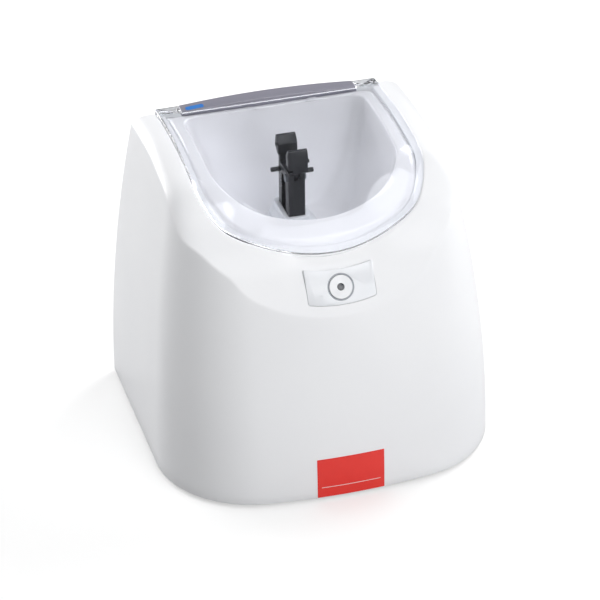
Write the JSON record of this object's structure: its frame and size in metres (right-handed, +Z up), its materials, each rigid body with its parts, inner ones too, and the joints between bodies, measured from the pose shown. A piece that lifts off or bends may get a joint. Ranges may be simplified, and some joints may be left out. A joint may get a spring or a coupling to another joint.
{
  "type": "dental capsule mixer",
  "caption": "Table-top capsule mixer for dental amalgam: curved white housing, hinged clear lid over a mixing bowl, oscillating fork with sprung jaws, start button.",
  "frame": {"origin": "on the table, under the middle of the machine's footprint", "axes": "+X to the right of the operator who faces the machine, +Y from the front to the rear wall, +Z up"},
  "size_m": [0.21, 0.1814, 0.1876],
  "materials": {
    "housing_white": "satin moulded plastic",
    "base_grey": "textured",
    "foot_rubber": "matt",
    "screw_steel": "zinc plated",
    "label_red": "printed film, plain",
    "bowl_white": "gloss moulded plastic",
    "black_rubber": "matt",
    "boot_rubber": "soft moulded",
    "lid_clear": "clear moulded plastic",
    "bar_grey": "satin",
    "badge_blue": "plain",
    "magnet_nickel": "plated",
    "pin_steel": "ground",
    "board_green": "solder mask",
    "panel_white": "satin film",
    "ring_grey": "satin",
    "button_white": "satin",
    "lens_black": "gloss",
    "switch_black": "moulded",
    "fork_black": "satin moulded",
    "spring_steel": "bright wire",
    "yoke_alloy": "cast",
    "bearing_steel": "ground",
    "hub_steel": "turned",
    "grub_black": "black oxide",
    "shaft_steel": "ground",
    "motor_steel": "zinc plated can",
    "cap_black": "moulded",
    "bracket_steel": "zinc plated",
    "bush_bronze": "sintered",
    "core_steel": "varnished laminations",
    "coil_tape": "tape",
    "capacitor_blue": "sleeve",
    "relay_black": "moulded",
    "sink_alloy": "extruded",
    "nylon_white": "moulded",
    "inlet_black": "moulded",
    "pin_brass": "nickel plated",
    "drawer_black": "moulded",
    "rocker_black": "moulded",
    "wire_black": "insulated"
  },
  "bodies": {
    "base": {"housing": "housing_white", "base_plate": "base_grey", "feet": "foot_rubber", "base_screws": "screw_steel", "front_label": "label_red", "mixing_bowl": "bowl_white", "bowl_seal": "black_rubber", "bowl_screws": "screw_steel", "boot_ring": "bowl_white", "arm_boot": "boot_rubber", "hinge_pins": "pin_steel", "lid_sensor": "board_green", "button_panel": "panel_white", "button_ring": "ring_grey", "tact_switch": "switch_black", "switch_board": "board_green", "switch_screws": "screw_steel", "motor_body": "motor_steel", "motor_end_cap": "cap_black", "motor_screws": "screw_steel", "motor_bracket": "bracket_steel", "trunnion_bushes": "bush_bronze", "rubber_mounts": "black_rubber", "mount_screws": "screw_steel", "transformer_core": "core_steel", "transformer_coil": "coil_tape", "control_board": "board_green", "capacitors": "capacitor_blue", "relay": "relay_black", "heat_sink": "sink_alloy", "board_standoffs": "nylon_white", "board_screws": "screw_steel", "mains_inlet": "inlet_black", "inlet_pins": "pin_brass", "switch_frame": "inlet_black", "wiring_loom": "wire_black"},
    "lid": {"lid": "lid_clear", "lid_bar": "bar_grey", "bar_badge": "badge_blue", "lid_magnet": "magnet_nickel"},
    "start_button": {"start_button": "button_white", "button_lens": "lens_black", "switch_plunger": "switch_black"},
    "fork": {"fork_arm": "fork_black", "jaw_pin": "pin_steel", "jaw_spring": "spring_steel", "arm_screws": "screw_steel", "arm_yoke": "yoke_alloy", "bearing_ring": "bearing_steel", "trunnion_clips": "spring_steel"},
    "front_jaw": {"front_jaw": "fork_black"},
    "rotor": {"motor_shaft": "shaft_steel", "bearing_ball": "bearing_steel", "oblique_hub": "hub_steel", "counterweight": "hub_steel", "grub_screws": "grub_black"},
    "power_rocker": {"power_rocker": "rocker_black"},
    "fuse_drawer": {"fuse_drawer": "drawer_black"}
  },
  "joints": [
    {"name": "lid_hinge", "type": "hinge", "parent": "base", "child": "lid", "pos_m": [0, 0.084, 0.1775], "axis": [-1, 0, 0], "range_deg": [0, 95]},
    {"name": "start_press", "type": "slide", "parent": "base", "child": "start_button", "axis": [0, 0.8625, -0.506], "range_m": [0, 0.0012], "stiffness_N_per_m": 400, "springref_m": -0.001},
    {"name": "fork_swing", "type": "hinge", "parent": "base", "child": "fork", "pos_m": [0, 0.032, 0.062], "axis": [0, 1, 0], "range_deg": [-5, 5], "deforming": ["arm_boot"]},
    {"name": "jaw_open", "type": "hinge", "parent": "fork", "child": "front_jaw", "pos_m": [0, 0.0249, 0.159], "axis": [1, 0, 0], "range_deg": [0, 12], "stiffness_Nm_per_rad": 0.5, "springref_deg": -17.19, "deforming": ["jaw_spring"]},
    {"name": "shaft_spin", "type": "hinge", "parent": "base", "child": "rotor", "pos_m": [0, 0.032, 0.062], "axis": [1, 0, 0], "continuous": true},
    {"name": "rocker_tilt", "type": "hinge", "parent": "base", "child": "power_rocker", "pos_m": [-0.022, 0.086, 0.034], "axis": [1, 0, 0], "range_deg": [0, 12]},
    {"name": "fuse_slide", "type": "slide", "parent": "base", "child": "fuse_drawer", "axis": [0, 1, 0], "range_m": [0, 0.018]}
  ]
}
